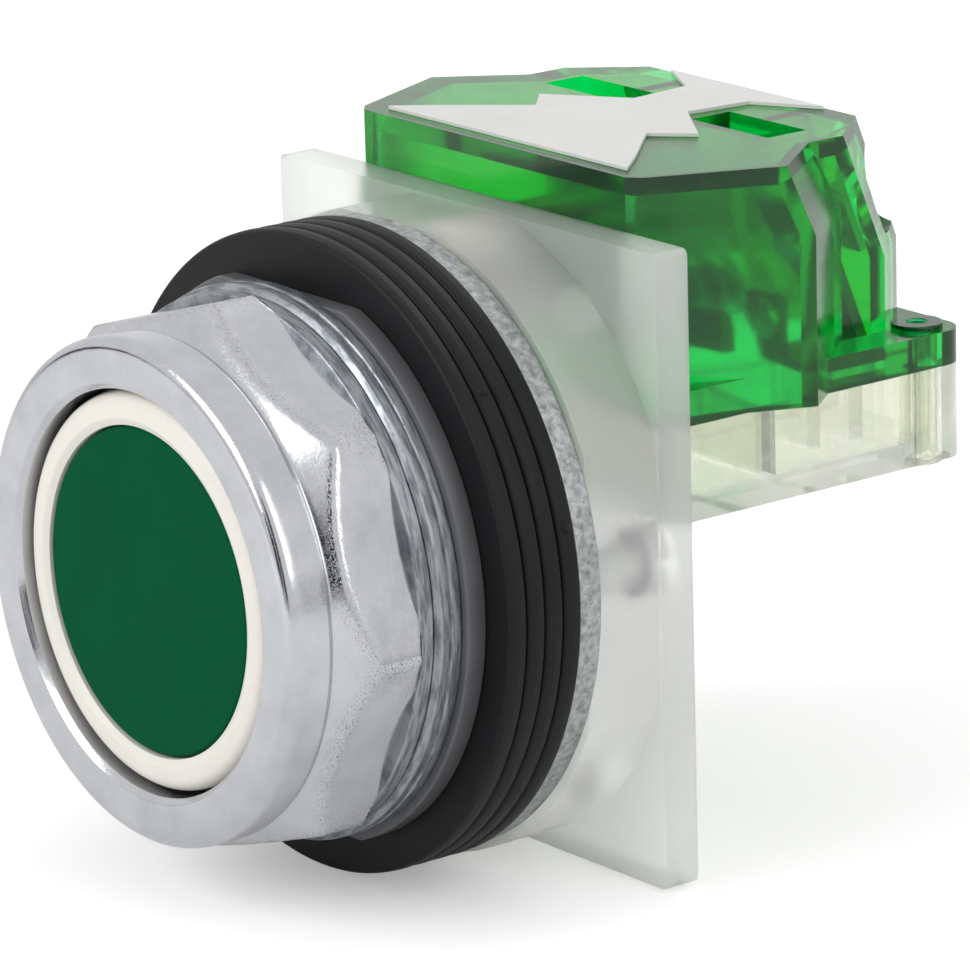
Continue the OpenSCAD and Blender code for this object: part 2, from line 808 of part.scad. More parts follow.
// Plunger: a pin in front, a slide with the bridge's window, a rod for its spring
module plunger() {
    color([0.75, 0.2, 0.16])
        translate([0, 0, plunger_z])
            difference() {
                union() {
                    ring_y(pusher_back + 0.05, slide_front + 0.1, plunger_d / 2 - run_gap);
                    translate([-slide_w / 2, slide_front, -slide_h / 2])
                        cube([slide_w, slide_back - slide_front, slide_h]);
                    ring_y(slide_back - 0.1, slide_back + tail_rod_len, tail_rod_r);
                }
                translate([-slide_w, window_front, -bridge_h / 2 - 0.1])
                    cube([2 * slide_w, window_len, bridge_h + 0.2]);
            }
}

// Spring that returns the plunger
module plunger_spring() {
    wire = 0.45;
    color([0.62, 0.63, 0.65])
        translate([0, 0, plunger_z])
            spring_y(slide_back + wire / 2, inner_rear_y - wire / 2, tail_rod_r + 0.55, wire, 6);
}

// Spring in the window that presses the bridge on the fixed contacts
module contact_spring() {
    wire = 0.4;
    color([0.62, 0.63, 0.65])
        translate([0, 0, plunger_z])
            spring_y(window_front + wire / 2, bridge_y - wire / 2, 1.05, wire, 4);
}

// Copper bar that joins the two fixed contacts
module contact_bridge() {
    half = tip_x + 1.7;
    color([0.74, 0.42, 0.24])
        translate([-half, bridge_y, plunger_z - bridge_h / 2])
            cube([2 * half, bridge_t, bridge_h]);
}

// Silver tips on the bridge
module bridge_tips() {
    color([0.85, 0.86, 0.87])
        for (side = [-1, 1])
            translate([side * tip_x, 0, plunger_z])
                ring_y(bridge_y + bridge_t, moving_tip_y, tip_d / 2 - 0.1);
}

// Copper strip: a leg for the tip in front, a base on the cover, a leaning leg for the terminal
module fixed_contact(side) {
    base_x = side * terminal_x - strip_w / 2;
    leg_w = 3.2;
    base_end = terminal_y - plate_depth * cos(slant_angle) + leg_low * sin(slant_angle);
    color([0.76, 0.45, 0.26])
        difference() {
            union() {
                translate([side * tip_x - leg_w / 2, strip_y, strip_z])
                    cube([leg_w, strip_t, plunger_z + 1.6 - strip_z]);
                translate([base_x, strip_y, strip_z])
                    cube([strip_w, base_end - strip_y - 0.1, strip_t]);
                terminal_axis(side)
                    translate([-strip_w / 2, -3, -plate_depth - strip_t])
                        cube([strip_w, leg_low + 3, strip_t]);
            }
            terminal_axis(side)
                translate([0, 0, -plate_depth - 3])
                    cylinder(h = 6, r = small_screw_d / 2 + seat);
            // Underside of the strip is flat where the leaning leg meets it
            translate([base_x - 1, strip_y - 1, strip_z - 5])
                cube([strip_w + 2, rear_y - strip_y, 5]);
        }
}

module contact_left() fixed_contact(-1);
module contact_right() fixed_contact(1);

// Silver tip on a fixed contact
module fixed_tip(side) {
    color([0.85, 0.86, 0.87])
        translate([side * tip_x, 0, plunger_z])
            ring_y(fixed_tip_y, strip_y, tip_d / 2);
}

module tip_left() fixed_tip(-1);
module tip_right() fixed_tip(1);

// Square saddle under the terminal screw's head
module saddle(side) {
    color([0.72, 0.72, 0.7])
        terminal_axis(side)
            difference() {
                translate([-saddle_w / 2, -saddle_w / 2, -head_depth - head_h - saddle_t])
                    cube([saddle_w, saddle_w, saddle_t]);
                translate([0, 0, -plate_depth - 1])
                    cylinder(h = plate_depth, r = small_screw_d / 2 + seat);
            }
}

module clamp_left() saddle(-1);
module clamp_right() saddle(1);

// Terminal screw, reached through the slanted rear face
module terminal_screw(side) {
    color([0.72, 0.72, 0.7])
        terminal_axis(side)
            difference() {
                union() {
                    translate([0, 0, -head_depth - head_h])
                        cylinder(h = head_h, r = small_head_d / 2);
                    translate([0, 0, -plate_depth - strip_t - 1.2])
                        cylinder(h = plate_depth + strip_t + 1.2 - head_depth - head_h + 0.1,
                                 r = small_screw_d / 2 - seat);
                }
                translate([-small_head_d, -0.4, -head_depth - 0.8])
                    cube([2 * small_head_d, 0.8, 1]);
            }
}

module screw_left() terminal_screw(-1);
module screw_right() terminal_screw(1);

button_insert();
button_cap();
stem_screw();
push_stem();
return_spring();
wiper_seal();
bushing();
ring_nut();
lock_washer();
thrust_washer();
trim_ring();
gasket_1();
gasket_2();
gasket_3();
gasket_4();
clamp_ring();
body();
bushing_screws();
body_inserts();
block_housing();
block_cover();
block_label();
block_screw();
cover_rivets();
plunger();
plunger_spring();
contact_spring();
contact_bridge();
bridge_tips();
contact_left();
contact_right();
tip_left();
tip_right();
clamp_left();
clamp_right();
screw_left();
screw_right();
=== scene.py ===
import math

import bmesh
import bpy
import numpy as np
from mathutils import Matrix, Vector


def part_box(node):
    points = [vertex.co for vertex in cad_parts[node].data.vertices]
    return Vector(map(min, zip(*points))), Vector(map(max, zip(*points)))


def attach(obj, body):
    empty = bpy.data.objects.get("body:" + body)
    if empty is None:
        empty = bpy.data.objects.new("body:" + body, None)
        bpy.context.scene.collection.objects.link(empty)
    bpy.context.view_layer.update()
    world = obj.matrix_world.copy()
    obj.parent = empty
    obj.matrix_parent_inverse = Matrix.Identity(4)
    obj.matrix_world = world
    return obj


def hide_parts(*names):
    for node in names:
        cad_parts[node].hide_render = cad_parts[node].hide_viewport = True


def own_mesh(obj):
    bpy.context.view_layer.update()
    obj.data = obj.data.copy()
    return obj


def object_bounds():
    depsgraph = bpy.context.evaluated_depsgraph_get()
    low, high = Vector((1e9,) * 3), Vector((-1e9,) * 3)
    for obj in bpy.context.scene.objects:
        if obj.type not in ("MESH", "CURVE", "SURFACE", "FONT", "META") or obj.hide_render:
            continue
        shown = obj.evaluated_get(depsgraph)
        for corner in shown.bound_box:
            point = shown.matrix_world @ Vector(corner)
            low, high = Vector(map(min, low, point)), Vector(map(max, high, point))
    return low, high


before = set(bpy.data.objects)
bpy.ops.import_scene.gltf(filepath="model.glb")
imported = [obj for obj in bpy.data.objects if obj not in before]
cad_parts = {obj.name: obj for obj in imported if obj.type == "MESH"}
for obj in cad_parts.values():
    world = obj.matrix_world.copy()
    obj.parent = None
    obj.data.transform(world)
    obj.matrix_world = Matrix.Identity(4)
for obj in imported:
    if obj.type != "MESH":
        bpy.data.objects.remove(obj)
cad_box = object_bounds()

# ---------------------------------------------------------------- studio
# The object lies in a white studio. The camera stands to the right of its face and a little above,
# far off behind a long lens. Large soft boxes light it and the floor keeps its shadow.

MM = 0.001


def tone(red, green, blue):
    """Display colour of 0 to 255 as the linear colour that a shader takes, by the sRGB curve."""
    share = np.array([red, green, blue]) / 255
    linear = np.where(share <= 0.04045, share / 12.92, ((share + 0.055) / 1.055) ** 2.4)
    return (*linear.tolist(), 1.0)


class Value:
    """A number that changes over a surface: arithmetic on it adds the Math nodes for it."""

    def __init__(self, socket):
        self.socket = socket

    def maths(self, operation, *terms):
        """Adds one Math node and fills its inputs with the terms in order."""
        made = self.socket.id_data.nodes.new("ShaderNodeMath")
        made.operation = operation
        for place, term in zip(made.inputs, terms):
            plug(place, term)
        return Value(made.outputs[0])

    def __add__(self, other):
        return self.maths("ADD", self, other)

    def __sub__(self, other):
        return self.maths("SUBTRACT", self, other)

    def __mul__(self, other):
        return self.maths("MULTIPLY", self, other)

    __radd__ = __add__
    __rmul__ = __mul__

    def between(self, low, high):
        """Rises smoothly from 0 at low to 1 at high."""
        made = self.socket.id_data.nodes.new("ShaderNodeMapRange")
        made.interpolation_type = "SMOOTHSTEP"
        for place, term in zip(made.inputs, (self, low, high, 0.0, 1.0)):
            plug(place, term)
        return Value(made.outputs[0])


def plug(place, term):
    """Links a Value to a socket, or sets the socket to a plain number or colour."""
    if isinstance(term, Value):
        place.id_data.links.new(term.socket, place)
    else:
        place.default_value = term


class Finish:
    """A material, or the world, in the making."""

    def __init__(self, owner):
        owner.use_nodes = True
        self.owner = owner
        self.tree = owner.node_tree
        self.tree.nodes.clear()

    def node(self, kind, settings=None, output=0, **sockets):
        """Adds one node: its settings are set first, then its sockets by name in small letters."""
        made = self.tree.nodes.new("ShaderNode" + kind)
        for option, setting in (settings or {}).items():
            setattr(made, option, setting)
        for name, term in sockets.items():
            wanted = name.replace("_", " ")
            plug(next(s for s in made.inputs if s.enabled and s.name.lower() == wanted), term)
        enabled = [s for s in made.outputs if s.enabled]
        if not enabled:
            return None
        return Value(enabled[output] if isinstance(output, int) else made.outputs[output])


world = Finish(bpy.data.worlds.new("studio"))
bpy.context.scene.world = world.owner
ambient = 0.62
seen = world.node("LightPath", output="Is Camera Ray")
seen = seen.maths("MAXIMUM", seen, 0.75 * world.node("LightPath", output="Is Glossy Ray"))
seen = seen.maths("MAXIMUM", seen, world.node("LightPath", output="Is Transmission Ray"))
world.node("OutputWorld", surface=world.node(
    "Background", color=(1, 1, 1, 1), strength=ambient + (1 - ambient) * seen))

camera = bpy.data.objects.new("camera", bpy.data.cameras.new("camera"))
bpy.context.collection.objects.link(camera)
bpy.context.scene.camera = camera
camera.data.sensor_width = 36
camera.data.lens = 241.2
camera.data.clip_start = 0.01
azimuth, elevation, roll = (math.radians(angle) for angle in (52.35, 15.92, -1.54))
gaze = Vector((-math.sin(azimuth) * math.cos(elevation), math.cos(azimuth) * math.cos(elevation),
               -math.sin(elevation)))
level = gaze.cross(Vector((0, 0, 1))).normalized()
upward = level.cross(gaze)
right = math.cos(roll) * level + math.sin(roll) * upward
up = math.cos(roll) * upward - math.sin(roll) * level
stand = Vector((337.28, -245.01, 123.30)) * MM
camera.matrix_world = Matrix.Translation(stand) @ Matrix((right, up, -gaze)).transposed().to_4x4()

middle = Vector((0, 14, 0))


def soft_box(name, place, width, height, power):
    """A rectangular lamp at a place in millimetres that faces the middle of the object."""
    lamp = bpy.data.lights.new(name, "AREA")
    lamp.shape = "RECTANGLE"
    lamp.size, lamp.size_y, lamp.energy = width * MM, height * MM, power
    holder = bpy.data.objects.new(name, lamp)
    facing = (middle - Vector(place)).to_track_quat("-Z", "Y")
    holder.matrix_world = Matrix.Translation(Vector(place) * MM) @ facing.to_matrix().to_4x4()
    bpy.context.collection.objects.link(holder)


soft_box("key_lamp", (-60, -340, 210), 260, 200, 0.80)
soft_box("side_lamp", (330, 60, 200), 200, 260, 0.30)
soft_box("rear_lamp", (-60, 330, 220), 220, 160, 0.30)


def dark_card(name, toward, distance, width, height):
    """A black card that only mirrors see: it gives polished metal its dark lines.

    It stands square to a direction (azimuth, elevation in degrees) at a distance in millimetres.
    """
    turn, rise = (math.radians(angle) for angle in toward)
    out = Vector((math.sin(turn) * math.cos(rise), -math.cos(turn) * math.cos(rise),
                  math.sin(rise)))
    across = out.cross(Vector((0, 0, 1))).normalized()
    upright = across.cross(out)
    corners = [middle + out * distance + across * width * x + upright * height * z
               for x, z in ((-0.5, -0.5), (0.5, -0.5), (0.5, 0.5), (-0.5, 0.5))]
    sheet = bpy.data.meshes.new(name)
    sheet.from_pydata([corner * MM for corner in corners], [], [(0, 1, 2, 3)])
    card = bpy.data.objects.new(name, sheet)
    bpy.context.collection.objects.link(card)
    felt = Finish(bpy.data.materials.new(name))
    felt.node("OutputMaterial", surface=felt.node("BsdfDiffuse", color=(0.006, 0.006, 0.007, 1)))
    sheet.materials.append(felt.owner)
    for ray in ("camera", "diffuse", "transmission", "shadow", "volume_scatter"):
        setattr(card, "visible_" + ray, False)


dark_card("card_cone", (17, 2), 460, 130, 270)
dark_card("card_rim", (36, 10), 460, 110, 400)
dark_card("card_rear_right", (128, -1), 420, 60, 110)
dark_card("card_front_left", (-58, 2), 420, 160, 46)

floor_mesh = bpy.data.meshes.new("floor")
floor_half, floor_gap = 3.0, 0.02 * MM
floor_corners = [(floor_half * x, floor_half * y, 0)
                 for x, y in ((-1, -1), (1, -1), (1, 1), (-1, 1))]
floor_mesh.from_pydata(floor_corners, [], [(0, 1, 2, 3)])
floor_mesh.transform(Matrix.Translation((0, 0, cad_box[0][2] - floor_gap)))
floor = bpy.data.objects.new("floor", floor_mesh)
bpy.context.collection.objects.link(floor)
paving = Finish(bpy.data.materials.new("floor_paint"))
direct = paving.node("LightPath", output="Is Camera Ray")
mirrored = paving.node("LightPath", output="Is Glossy Ray")
lift = direct.maths("MAXIMUM", direct, 0.35 * mirrored)
lift = lift.maths("MAXIMUM", lift, paving.node("LightPath", output="Is Transmission Ray"))
painted = paving.node("BsdfDiffuse", color=(0.86, 0.86, 0.86, 1))
glow = paving.node("Emission", color=(1, 1, 1, 1), strength=0.32 * lift)
both = paving.node("AddShader")
for place, light in zip(both.socket.node.inputs, (painted, glow)):
    plug(place, light)
paving.node("OutputMaterial", surface=both)
floor_mesh.materials.append(paving.owner)


# ---------------------------------------------------------------- button insert
# Dark green disc of semi-gloss moulded plastic with a fine satin skin.
# It snaps into the front of the cap, a little below its rim.


class Coat(Finish):
    """A finish on one Principled shader. Its constants are set on the shader's own sockets."""

    def __init__(self, name, **constants):
        super().__init__(bpy.data.materials.new(name))
        self.shader = self.tree.nodes.new("ShaderNodeBsdfPrincipled")
        self.out = self.tree.nodes.new("ShaderNodeOutputMaterial")
        self.tree.links.new(self.shader.outputs[0], self.out.inputs[0])
        self.place = self.node("TexCoord", output="Object")
        self.set(**constants)

    def set(self, **terms):
        """Sets or links inputs of the shader by their names in small letters."""
        for name, term in terms.items():
            wanted = name.replace("_", " ")
            plug(next(s for s in self.shader.inputs if s.name.lower() == wanted), term)
        return self

    def grain(self, size, detail=3.0, roughness=0.55, place=None):
        """Noise whose lumps are about size millimetres across."""
        return self.node("TexNoise", scale=1 / (size * MM), detail=detail, roughness=roughness,
                         vector=place or self.place)

    def mottle(self, amount, first, second):
        """Colour between two tones by an amount that changes over the surface."""
        return self.node("Mix", {"data_type": "RGBA"}, factor=amount, a=first, b=second)

    def relief(self, height, depth):
        """Bump whose full height is depth millimetres."""
        return self.node("Bump", strength=1.0, distance=depth * MM, height=height)


def surface(name, grid, poles=False, marks=None):
    """Closed mesh of a grid of points [row, column]: each point joins its neighbours in quads.

    Columns close on the first. Rows close too, unless poles is set: the first and last rows then
    each meet in one point. Faces are turned so that the enclosed volume is positive. marks are
    amounts per point that a finish can read by name.
    """
    rows, columns = grid.shape[:2]
    number = np.arange(rows * columns).reshape(rows, columns)
    if poles:
        number[0], number[-1] = number[0, 0], number[-1, 0]
    here, ahead = number, np.roll(number, -1, axis=0)
    if poles:
        here, ahead = here[:-1], ahead[:-1]
    quads = np.stack([here, np.roll(here, -1, 1), np.roll(ahead, -1, 1), ahead], -1).reshape(-1, 4)
    points = grid.reshape(-1, 3)
    a, b, c, d = (points[quads[:, k]] for k in range(4))
    volume = np.einsum("ij,ij->", a, np.cross(b, c) + np.cross(c, d))
    if volume < 0:
        quads = quads[:, ::-1]
    kept = quads != np.roll(quads, 1, axis=1)
    used, corners = np.unique(quads[kept], return_inverse=True)
    counts = kept.sum(axis=1)
    mesh = bpy.data.meshes.new(name)
    mesh.vertices.add(len(used))
    mesh.vertices.foreach_set("co", (points[used] * MM).astype(np.float32).ravel())
    mesh.loops.add(len(corners))
    mesh.loops.foreach_set("vertex_index", corners.astype(np.int32).ravel())
    mesh.polygons.add(len(counts))
    mesh.polygons.foreach_set("loop_start", (np.cumsum(counts) - counts).astype(np.int32))
    mesh.update(calc_edges=True)
    for mark, amount in (marks or {}).items():
        layer = mesh.attributes.new(mark, "FLOAT", "POINT")
        layer.data.foreach_set("value", amount.reshape(-1)[used].astype(np.float32))
    mesh.shade_smooth()
    made = bpy.data.objects.new(name, mesh)
    bpy.context.collection.objects.link(made)
    weigh = made.modifiers.new("flat faces stay flat", "WEIGHTED_NORMAL")
    weigh.weight = 80
    return made


def rounded(corners, steps):
    """Outline whose corners (radius, y, rounding) become arcs.

    An arc touches both sides at rounding * cot(half the corner's angle) from the corner, and its
    points turn evenly from one touching point to the other about the arc's centre.
    """
    data = np.asarray(corners, float)
    point, bend = data[:, :2], np.maximum(data[:, 2:3], 1e-4)
    back = np.roll(point, 1, 0) - point
    on = np.roll(point, -1, 0) - point
    back /= np.linalg.norm(back, axis=1, keepdims=True)
    on /= np.linalg.norm(on, axis=1, keepdims=True)
    half = np.arccos(np.clip((back * on).sum(1, keepdims=True), -0.99999, 0.99999)) / 2
    inward = (back + on) / np.linalg.norm(back + on, axis=1, keepdims=True)
    centre = point + inward * bend / np.sin(half)
    first = (point + back * bend / np.tan(half) - centre) / bend
    last = (point + on * bend / np.tan(half) - centre) / bend
    sweep = np.maximum(np.pi - 2 * half, 1e-4)[:, :, None]
    share = np.linspace(0, 1, steps + 1)[None, :, None]
    turn = (np.sin((1 - share) * sweep) * first[:, None]
            + np.sin(share * sweep) * last[:, None]) / np.sin(sweep)
    return (centre[:, None] + bend[:, :, None] * turn).reshape(-1, 2)


def turned(name, outline, sides=192, poles=False):
    """Outline of (radius, y) carried round the Y axis: x = radius * cos a, z = radius * sin a."""
    angle = np.arange(sides) * 2 * np.pi / sides
    radius, along = outline[:, :1], outline[:, 1:]
    grid = np.stack([radius * np.cos(angle), along + 0 * angle, radius * np.sin(angle)], -1)
    return surface(name, grid, poles)


def fit(piece, finish, body, slot, *nodes):
    """Gives a piece its finish and body and hides the CAD nodes it stands for; slot is not used."""
    piece.data.materials.clear()
    piece.data.materials.append(finish.owner)
    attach(piece, body)
    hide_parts(*nodes)
    return piece


def edges_mm(node):
    """Lowest and highest corners of a CAD node in millimetres."""
    low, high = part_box(node)
    return np.array(low) / MM, np.array(high) / MM


insert_low, insert_high = edges_mm("button_insert")
insert_r = insert_high[0]
insert_face = insert_low[1]
boss_len, boss_outer, boss_inner = 1.0, 7, 6
insert_rear = insert_high[1] - boss_len
edge_round = 0.3
green_skin = Coat("green_disc_plastic", ior=1.14, specular_ior_level=0.15)
speckle = green_skin.grain(0.09, 2.0)
green_skin.set(
    base_color=green_skin.mottle(green_skin.grain(4.0, 3.0), tone(2, 74, 46), tone(4, 82, 52)),
    roughness=0.36 + 0.12 * speckle,
    normal=green_skin.relief(speckle, 0.004))
# The front edge is a quarter circle of radius edge_round.
face = [(0, insert_face)] + [(r, insert_face) for r in np.linspace(1.5, insert_r - edge_round, 7)]
brow = [(insert_r - edge_round + edge_round * math.sin(turn),
         insert_face + edge_round - edge_round * math.cos(turn))
        for turn in np.linspace(0, math.pi / 2, 8)[1:]]
back = [(insert_r, insert_rear), (boss_outer, insert_rear), (boss_outer, insert_rear + boss_len),
        (boss_inner, insert_rear + boss_len), (boss_inner, insert_rear), (0, insert_rear)]
disc = np.array(face + brow + back)
fit(turned("green_disc", disc, 192, poles=True), green_skin, "button", "insert_green",
    "button_insert")


# ---------------------------------------------------------------- button cap
# Warm white cup of satin plastic whose raised rim frames the disc.
# Its skirt slides in the bushing's bore, and a screw through its hub holds it on the stem.

cap_low, cap_high = edges_mm("button_cap")
cap_r = cap_high[0]
cap_face = cap_low[1]
cream = Coat("cream_plastic", roughness=0.38, subsurface_weight=0.08, subsurface_scale=0.0008)
fleck = cream.grain(0.12, 2.0)
cream.set(
    base_color=cream.mottle(cream.grain(3.0, 4.0), tone(221, 218, 209), tone(229, 226, 217)),
    roughness=0.34 + 0.10 * fleck,
    normal=cream.relief(fleck, 0.004))
seat_r = insert_r + 0.12
seat_y = insert_rear
skirt_r, skirt_wall = 12.54, 1.3
lip_y = cap_face + 1.6
floor_y = seat_y + 1.6
hub_r, hub_rear = 4.2, floor_y + 6
head_r, head_y = 2.8, seat_y + 1.7
screw_r = 1.52
groove_inner, groove_outer, groove_y = 5.9, 7.1, seat_y + 1.1
inside_r = skirt_r - skirt_wall
rim = rounded([(screw_r, head_y, 0.0), (head_r, head_y, 0.0), (head_r, seat_y, 0.05),
               (groove_inner, seat_y, 0.05), (groove_inner, groove_y, 0.0),
               (groove_outer, groove_y, 0.0), (groove_outer, seat_y, 0.05), (seat_r, seat_y, 0.05),
               (seat_r, cap_face + 0.28, 0.0), (seat_r + 0.50, cap_face, 0.34),
               (cap_r, cap_face + 0.12, 1.0), (cap_r, lip_y, 0.12), (skirt_r, lip_y, 0.1),
               (skirt_r, cap_high[1], 0.15), (inside_r, cap_high[1], 0.1), (inside_r, floor_y, 0.3),
               (hub_r, floor_y, 0.3), (hub_r, hub_rear, 0.15), (screw_r, hub_rear, 0.1)], 6)
fit(turned("cream_cap", rim, 192), cream, "button", "cap_cream", "button_cap")


# ---------------------------------------------------------------- ring nut
# Chrome guard nut, a zinc die casting: a round rim in front and eight flats behind, whose corners
# are turned off in a cone. The plate is bright on the turned faces and pitted along the cast edges.

nut_low, nut_high = edges_mm("ring_nut")
nut_front, nut_rear = nut_low[1], nut_high[1]
nut_rim_r = 17.2
nut_apothem = 17.8
nut_turn = math.radians(-6)
corner_radius = nut_apothem / math.cos(math.pi / 8)
lip_r = cap_r + 0.28
thread_r = 14.85
lip_rear = nut_front + 2.6
rim_back = nut_front + 3.9
crown_r = corner_radius + 0.1
chrome = Coat("chrome_plate", metallic=1.0)
cast = chrome.node("Attribute", {"attribute_name": "cast"}, output="Fac")
pits = chrome.grain(0.11, 4.0, 0.7).between(0.52, 0.64)
fine_pits = chrome.grain(0.12, 4.0, 0.7)
waves = chrome.grain(1.4, 3.0)
haze = chrome.grain(3.0, 4.0)
pitted = pits * (0.12 + 0.88 * cast)
chrome.set(
    base_color=chrome.mottle(
        pitted * 0.8, chrome.mottle(haze, tone(178, 180, 184), tone(212, 213, 216)),
        tone(96, 98, 102)),
    roughness=0.07 + 0.08 * haze + 0.22 * pitted,
    normal=chrome.relief(0.35 * fine_pits + 1.1 * waves - 0.5 * pitted, 0.014))
nut_outline = rounded([
    (thread_r, nut_rear, 0.15), (corner_radius - 0.5, nut_rear, 0.1),
    (crown_r, nut_rear - 0.4, 0.3), (crown_r, nut_rear - 3.4, 0.3),
    (nut_rim_r - 0.30, rim_back - 0.35, 0.2),
    (nut_rim_r, rim_back - 0.8, 0.4), (nut_rim_r, nut_front, 0.9), (lip_r + 0.4, nut_front, 0.12),
    (lip_r, nut_front + 0.4, 0.1), (lip_r, lip_rear, 0.05), (thread_r, lip_rear, 0.05)], 6)


def spread(outline, gap):
    """Outline with points added so that none are further apart than about gap."""
    ahead = np.roll(outline, -1, 0)
    steps = np.maximum(1, np.ceil(np.linalg.norm(ahead - outline, axis=1) / gap)).astype(int)
    owner = np.repeat(np.arange(len(outline)), steps)
    start = np.repeat(np.cumsum(steps) - steps, steps)
    share = (np.arange(len(owner)) - start) / np.repeat(steps, steps)
    return outline[owner] + (ahead[owner] - outline[owner]) * share[:, None]


def octagon_nut(name, outline, sides=480):
    """Turned outline whose radius is limited by eight flats.

    The flats lie at apothem / p-norm over the flats of max(0, cos(a - flat's angle)), so that their
    corners are slightly round. Columns stand closer together at the corners. The smaller of turned
    radius and flat radius is taken by a soft minimum, m = (x + y - sqrt((x - y)^2 + soft^2)) / 2.
    The mark named cast is exp(-(d / cast_width)^2), where d is the distance between the two radii,
    so it is strongest where they meet. It is 0 in the bore and on the rim.
    """
    even = np.arange(sides) * 2 * np.pi / sides
    crowding, sharp, soft = 0.65, 260, 0.10
    bore_side, cast_front, cast_width = nut_rim_r - 1.4, nut_front + 3.6, 0.55
    angle = even - crowding * np.sin(8 * (even + np.pi / 8)) / 8 + nut_turn
    flats = np.arange(8) * np.pi / 4 + nut_turn + np.pi / 8
    reach_of = np.maximum(0, np.cos(angle[:, None] - flats)) ** sharp
    flat_r = nut_apothem * reach_of.sum(1) ** (-1 / sharp)
    radius = outline[:, :1] + 0 * angle
    inner = outline[:, :1] < bore_side
    softened = (radius + flat_r - np.sqrt((radius - flat_r) ** 2 + soft ** 2)) / 2
    radius = np.where(inner, radius, softened)
    along = outline[:, 1:] + 0 * angle
    grid = np.stack([radius * np.cos(angle), along, radius * np.sin(angle)], -1)
    meeting = np.exp(-((outline[:, :1] - flat_r) / cast_width) ** 2)
    cast = np.where(inner | (outline[:, 1:] < cast_front), 0.0, meeting) + 0 * angle
    return surface(name, grid, marks={"cast": cast})


fit(octagon_nut("guard_nut", spread(nut_outline, 0.4)), chrome, "frame", "chrome", "ring_nut")


# ---------------------------------------------------------------- washers
# Thin zinc lock washer and a thicker thrust washer with one turned groove, both dull plated.
# Like the rings behind them they go over the bushing's thread with a little play.

ring_bore = 15.15
zinc = Coat("zinc_plate", metallic=0.9)
drawn_out = zinc.node("Mapping", scale=(0.14, 1, 0.14), vector=zinc.place)
zinc_grain = zinc.grain(0.35, 5.0, 0.65)
zinc_streak = zinc.grain(0.30, 4.0, 0.6, drawn_out)
zinc.set(
    base_color=zinc.mottle(
        zinc_streak.between(0.36, 0.60), tone(112, 117, 122), tone(160, 164, 168)),
    roughness=0.30 + 0.22 * zinc_grain,
    normal=zinc.relief(zinc_grain, 0.012))
for washer, node, groove in (("lock_plate", "lock_washer", None),
                             ("thrust_plate", "thrust_washer", 1.05)):
    low, high = edges_mm(node)
    edge = high[0]
    chamfer = 0.4 if groove else 0.0
    corners = [(ring_bore, high[1], 0.1), (ring_bore, low[1], 0.1), (edge - chamfer, low[1], 0.15)]
    if groove:
        groove_y = low[1] + groove
        corners += [(edge, low[1] + 0.3, 0.12), (edge, groove_y - 0.15, 0.05),
                    (edge - 0.25, groove_y, 0.04), (edge, groove_y + 0.15, 0.05)]
    corners += [(edge, high[1], 0.15)]
    fit(turned(washer, spread(rounded(corners, 4), 1.5), 192), zinc, "frame", "zinc", node)


# ---------------------------------------------------------------- trim ring
# Satin grey plastic ring with a flat top and a flat underside.
# It lies between the thrust washer and the first gasket.


def flatted(name, outline, half_width, sides=256):
    """Turned outline with two flats at z = half_width and z = -half_width.

    At an angle a the rim reaches half_width / |sin a| where that is nearer than its own radius.
    Each section is drawn in towards the bore to fit: its radii become
    bore + (radius - bore) * (reach - bore) / (rim - bore).
    """
    angle = np.arange(sides) * 2 * np.pi / sides
    radius, along = outline[:, :1], outline[:, 1:]
    bore, rim = radius.min(), radius.max()
    reach = np.minimum(rim, half_width / np.maximum(np.abs(np.sin(angle)), 1e-9))
    drawn = bore + (radius - bore) * (reach - bore) / (rim - bore)
    grid = np.stack([drawn * np.cos(angle), along + 0 * angle, drawn * np.sin(angle)], -1)
    return surface(name, grid)


trim_low, trim_high = edges_mm("trim_ring")
trim_grey = Coat("grey_trim_plastic", roughness=0.4)
trim_fleck = trim_grey.grain(0.15, 3.0)
trim_grey.set(
    base_color=trim_grey.mottle(trim_grey.grain(3.0, 3.0), tone(76, 77, 80), tone(98, 99, 101)),
    roughness=0.30 + 0.16 * trim_fleck,
    normal=trim_grey.relief(trim_fleck, 0.006))
trim_outline = rounded([(ring_bore, trim_high[1], 0.08), (ring_bore, trim_low[1], 0.08),
                        (trim_high[0], trim_low[1], 0.18), (trim_high[0], trim_high[1], 0.1)], 4)
fit(flatted("grey_trim", spread(trim_outline, 1.0), trim_high[2]), trim_grey, "frame", "trim_grey",
    "trim_ring")


# ---------------------------------------------------------------- gaskets
# Four matte black rubber rings that seal the panel, moulded with round edges and a fine seam line.
# Two of them carry a small moulded nub on the rim.

